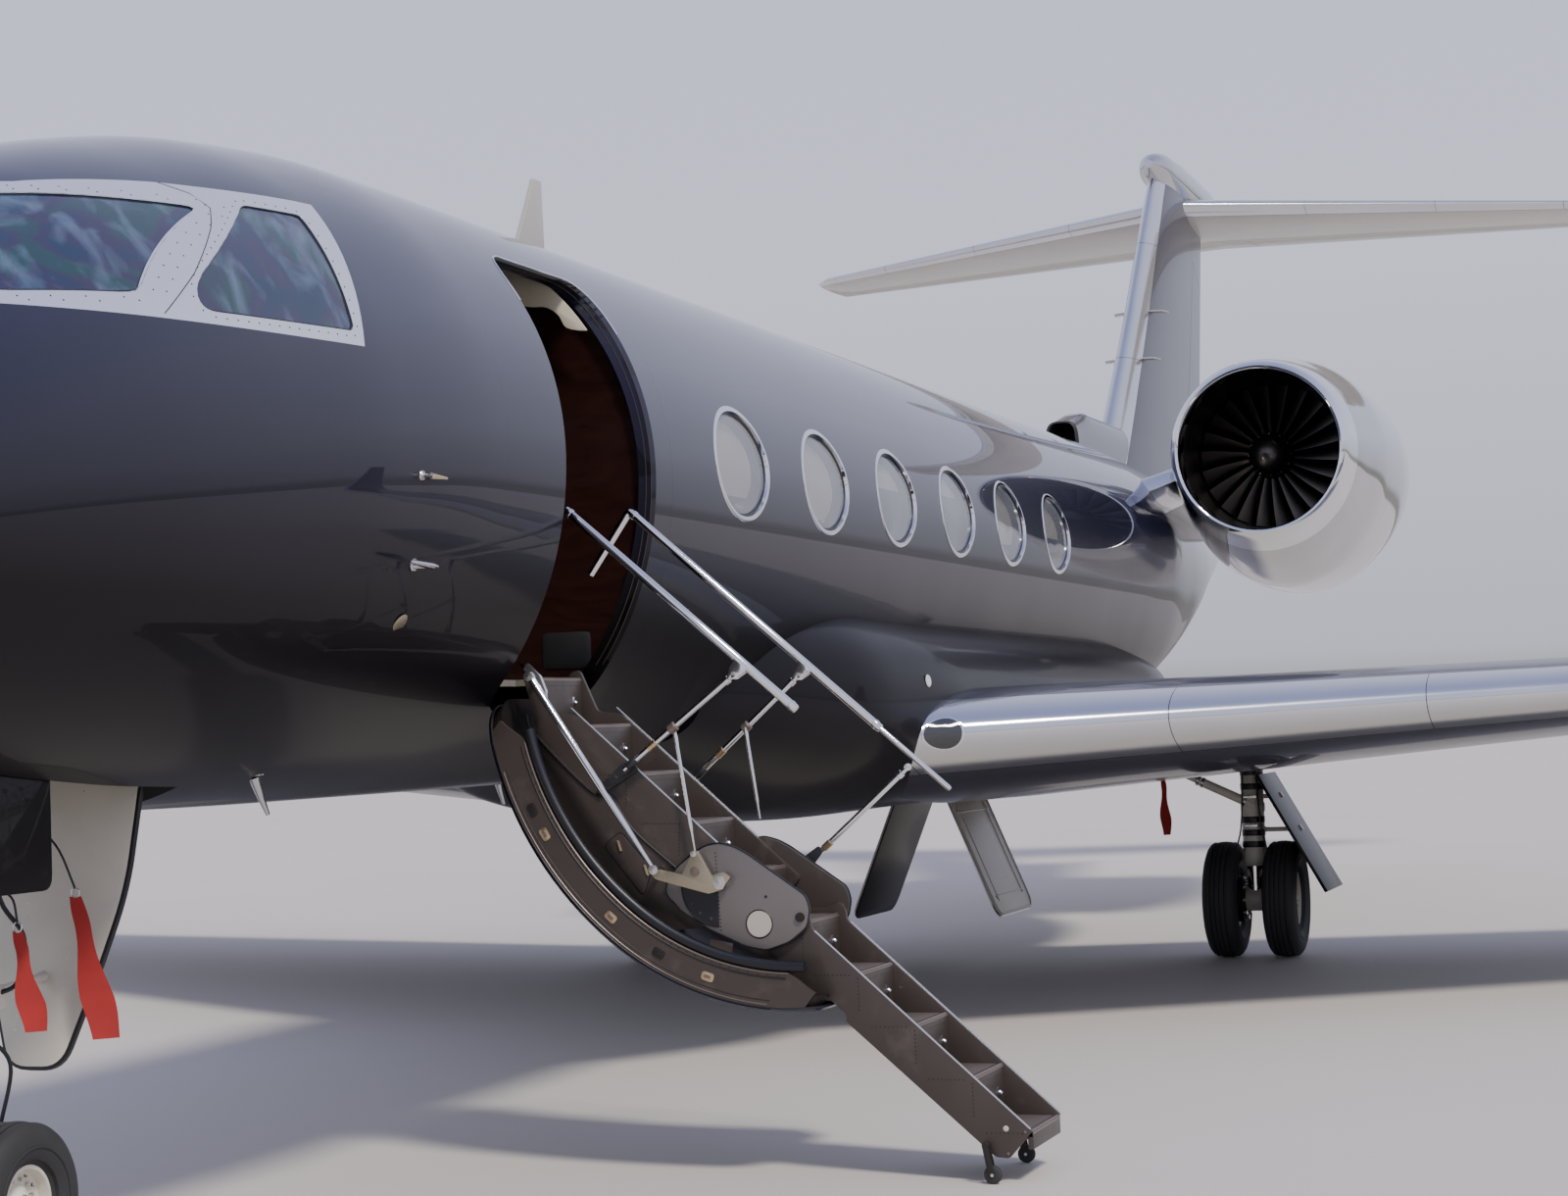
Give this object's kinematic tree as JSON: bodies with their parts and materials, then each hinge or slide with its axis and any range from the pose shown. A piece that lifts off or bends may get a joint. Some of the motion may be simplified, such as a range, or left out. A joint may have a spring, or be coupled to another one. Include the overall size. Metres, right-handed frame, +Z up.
{
  "type": "business jet",
  "caption": "Twin-engine business jet parked on its gear, with folding airstair, swept wings with winglets, T-tail and open gear doors.",
  "frame": {"origin": "on the ground, under the middle of the overall length and span", "axes": "+X to port, +Y aft, +Z up"},
  "size_m": [23.7804, 26.92, 7.44],
  "materials": {
    "navy_paint": "gloss clear coat over dark navy",
    "polished_metal": "polished",
    "cream_paint": "semi-gloss",
    "dark_glass": "tinted",
    "pale_glass": "clear over pale shades",
    "stair_metal": "satin grey-brown",
    "chrome_tube": "polished",
    "wood_veneer": "gloss",
    "carpet": "woven",
    "seat_leather": "satin",
    "tyre_rubber": "matt",
    "fan_metal": "dark satin",
    "engine_metal": "matt"
  },
  "bodies": {
    "airframe": {"radome": "navy_paint", "forward_fuselage": "navy_paint", "windshield_frame": "polished_metal", "cockpit_glass_port": "dark_glass", "cockpit_glass_starboard": "dark_glass", "cabin_barrel": "navy_paint", "cabin_windows_port": "pale_glass", "cabin_windows_starboard": "pale_glass", "aft_fuselage": "navy_paint", "wing_fairing": "navy_paint", "port_wing": "navy_paint", "starboard_wing": "navy_paint", "fin": "navy_paint", "tailplane": "cream_paint", "port_nacelle": "polished_metal", "starboard_nacelle": "polished_metal", "port_pylon": "navy_paint", "starboard_pylon": "navy_paint", "port_engine_core": "engine_metal", "starboard_engine_core": "engine_metal", "port_main_leg": "cream_paint", "starboard_main_leg": "cream_paint", "port_leg_door": "navy_paint", "starboard_leg_door": "navy_paint", "nose_leg": "cream_paint", "nose_aft_door": "cream_paint", "cabin_floor": "carpet", "forward_bulkhead": "wood_veneer", "cabin_seats": "seat_leather"},
    "port_aileron": {"port_aileron": "navy_paint"},
    "starboard_aileron": {"starboard_aileron": "navy_paint"},
    "rudder": {"rudder": "navy_paint"},
    "port_elevator": {"port_elevator": "cream_paint"},
    "starboard_elevator": {"starboard_elevator": "cream_paint"},
    "port_fan": {"port_fan": "fan_metal"},
    "starboard_fan": {"starboard_fan": "fan_metal"},
    "port_main_wheels": {"port_main_wheels": "cream_paint", "port_inner_tyre": "tyre_rubber", "port_outer_tyre": "tyre_rubber"},
    "starboard_main_wheels": {"starboard_main_wheels": "cream_paint", "starboard_inner_tyre": "tyre_rubber", "starboard_outer_tyre": "tyre_rubber"},
    "nose_fork": {"nose_fork": "cream_paint"},
    "nose_wheels": {"nose_wheels": "cream_paint", "nose_tyre_port": "tyre_rubber", "nose_tyre_starboard": "tyre_rubber"},
    "port_belly_door": {"port_belly_door": "polished_metal"},
    "starboard_belly_door": {"starboard_belly_door": "polished_metal"},
    "port_nose_door": {"port_nose_door": "navy_paint"},
    "starboard_nose_door": {"starboard_nose_door": "navy_paint"},
    "airstair_door": {"airstair_door": "navy_paint", "airstair_upper": "stair_metal"},
    "airstair_lower": {"airstair_lower": "stair_metal"},
    "airstair_castors": {"airstair_castors": "tyre_rubber"},
    "front_rail_post": {"front_rail_post": "chrome_tube"},
    "front_handrail": {"front_handrail": "chrome_tube"},
    "rear_rail_post": {"rear_rail_post": "chrome_tube"},
    "rear_handrail": {"rear_handrail": "chrome_tube"},
    "rear_rail_strut": {"rear_rail_strut": "chrome_tube"},
    "rear_rail_slider": {"rear_rail_slider": "chrome_tube"}
  },
  "joints": [
    {"name": "nose_steer", "type": "hinge", "parent": "airframe", "child": "nose_fork", "pos_m": [0, -10.81, 0.9], "axis": [0, 0, 1], "range_deg": [-80, 80]},
    {"name": "nose_wheels_spin", "type": "hinge", "parent": "nose_fork", "child": "nose_wheels", "pos_m": [0, -10.81, 0.266], "axis": [1, 0, 0], "continuous": true},
    {"name": "port_main_wheels_spin", "type": "hinge", "parent": "airframe", "child": "port_main_wheels", "pos_m": [2.17, 0.64, 0.4], "axis": [1, 0, 0], "continuous": true},
    {"name": "starboard_main_wheels_spin", "type": "hinge", "parent": "airframe", "child": "starboard_main_wheels", "pos_m": [-2.17, 0.64, 0.4], "axis": [1, 0, 0], "continuous": true},
    {"name": "port_fan_spin", "type": "hinge", "parent": "airframe", "child": "port_fan", "pos_m": [1.875, 3.84, 3.78], "axis": [0, 1, 0], "continuous": true},
    {"name": "starboard_fan_spin", "type": "hinge", "parent": "airframe", "child": "starboard_fan", "pos_m": [-1.875, 3.84, 3.78], "axis": [0, 1, 0], "continuous": true},
    {"name": "port_aileron_hinge", "type": "hinge", "parent": "airframe", "child": "port_aileron", "pos_m": [7.7, 1.67704, 1.87345], "axis": [0.9441, 0.3251, 0.0552], "range_deg": [-20, 20]},
    {"name": "starboard_aileron_hinge", "type": "hinge", "parent": "airframe", "child": "starboard_aileron", "pos_m": [-7.7, 1.67704, 1.87345], "axis": [-0.9441, 0.3251, 0.0552], "range_deg": [-20, 20]},
    {"name": "rudder_hinge", "type": "hinge", "parent": "airframe", "child": "rudder", "pos_m": [0, 9.34098, 4.35], "axis": [0, 0.393, 0.9195], "range_deg": [-22, 22]},
    {"name": "port_elevator_hinge", "type": "hinge", "parent": "airframe", "child": "port_elevator", "pos_m": [0.42, 11.72685, 7], "axis": [0.957, 0.29, 0], "range_deg": [-13, 27]},
    {"name": "starboard_elevator_hinge", "type": "hinge", "parent": "airframe", "child": "starboard_elevator", "pos_m": [-0.42, 11.72685, 7], "axis": [0.957, -0.29, 0], "range_deg": [-13, 27]},
    {"name": "port_belly_door_hinge", "type": "hinge", "parent": "airframe", "child": "port_belly_door", "pos_m": [0.184, 0.315, 1.21], "axis": [0, -1, 0], "range_deg": [0, 73]},
    {"name": "starboard_belly_door_hinge", "type": "hinge", "parent": "airframe", "child": "starboard_belly_door", "pos_m": [-0.184, 0.315, 1.21], "axis": [0, 1, 0], "range_deg": [0, 73]},
    {"name": "port_nose_door_hinge", "type": "hinge", "parent": "airframe", "child": "port_nose_door", "pos_m": [0.39, -11.33, 1.66], "axis": [0, 1, 0], "range_deg": [0, 78]},
    {"name": "starboard_nose_door_hinge", "type": "hinge", "parent": "airframe", "child": "starboard_nose_door", "pos_m": [-0.39, -11.33, 1.66], "axis": [0, -1, 0], "range_deg": [0, 78]},
    {"name": "airstair_door_hinge", "type": "hinge", "parent": "airframe", "child": "airstair_door", "pos_m": [0.8, -8.16, 1.83], "axis": [0, -1, 0], "range_deg": [0, 129]},
    {"name": "lower_flight_fold", "type": "hinge", "parent": "airstair_door", "child": "airstair_lower", "pos_m": [2.0588, -8.255, 0.99096], "axis": [0, -1, 0], "range_deg": [0, 180]},
    {"name": "castor_fold", "type": "hinge", "parent": "airstair_lower", "child": "airstair_castors", "pos_m": [2.752, -8.255, 0.142], "axis": [0, -1, 0], "range_deg": [0, 155]},
    {"name": "front_post_fold", "type": "hinge", "parent": "airstair_door", "child": "front_rail_post", "pos_m": [1.36559, -8.51, 1.57207], "axis": [0, 1, 0], "range_deg": [0, 72]},
    {"name": "front_handrail_level", "type": "hinge", "parent": "front_rail_post", "child": "front_handrail", "pos_m": [1.8384, -8.535, 1.92682], "axis": [0, -1, 0], "range_deg": [0, 72]},
    {"name": "rear_post_fold", "type": "hinge", "parent": "airstair_door", "child": "rear_rail_post", "pos_m": [1.42801, -7.99, 1.51587], "axis": [0, 1, 0], "range_deg": [0, 72]},
    {"name": "rear_handrail_level", "type": "hinge", "parent": "rear_rail_post", "child": "rear_handrail", "pos_m": [1.89876, -7.965, 1.92361], "axis": [0, -1, 0], "range_deg": [0, 72]},
    {"name": "rear_strut_fold", "type": "hinge", "parent": "airstair_door", "child": "rear_rail_strut", "pos_m": [1.85889, -7.96, 1.1306], "axis": [0, -1, 0], "range_deg": [0, 92]},
    {"name": "rear_rail_slide", "type": "slide", "parent": "rear_handrail", "child": "rear_rail_slider", "axis": [-0.7485, 0, 0.6631], "range_m": [0, 0.38]}
  ],
  "couplings": [
    {"joint": "starboard_aileron_hinge", "follows": "port_aileron_hinge", "ratio": 1},
    {"joint": "starboard_elevator_hinge", "follows": "port_elevator_hinge", "ratio": 1},
    {"joint": "starboard_belly_door_hinge", "follows": "port_belly_door_hinge", "ratio": 1},
    {"joint": "starboard_nose_door_hinge", "follows": "port_nose_door_hinge", "ratio": 1},
    {"joint": "lower_flight_fold", "follows": "airstair_door_hinge", "ratio": 1.3953},
    {"joint": "castor_fold", "follows": "airstair_door_hinge", "ratio": 1.2015},
    {"joint": "front_post_fold", "follows": "airstair_door_hinge", "ratio": 0.55814},
    {"joint": "front_handrail_level", "follows": "airstair_door_hinge", "ratio": 0.55814},
    {"joint": "rear_post_fold", "follows": "airstair_door_hinge", "ratio": 0.55814},
    {"joint": "rear_handrail_level", "follows": "airstair_door_hinge", "ratio": 0.55814},
    {"joint": "rear_strut_fold", "follows": "airstair_door_hinge", "ratio": 0.71318},
    {"joint": "rear_rail_slide", "follows": "airstair_door_hinge", "m_per_rad": 0.16878}
  ]
}
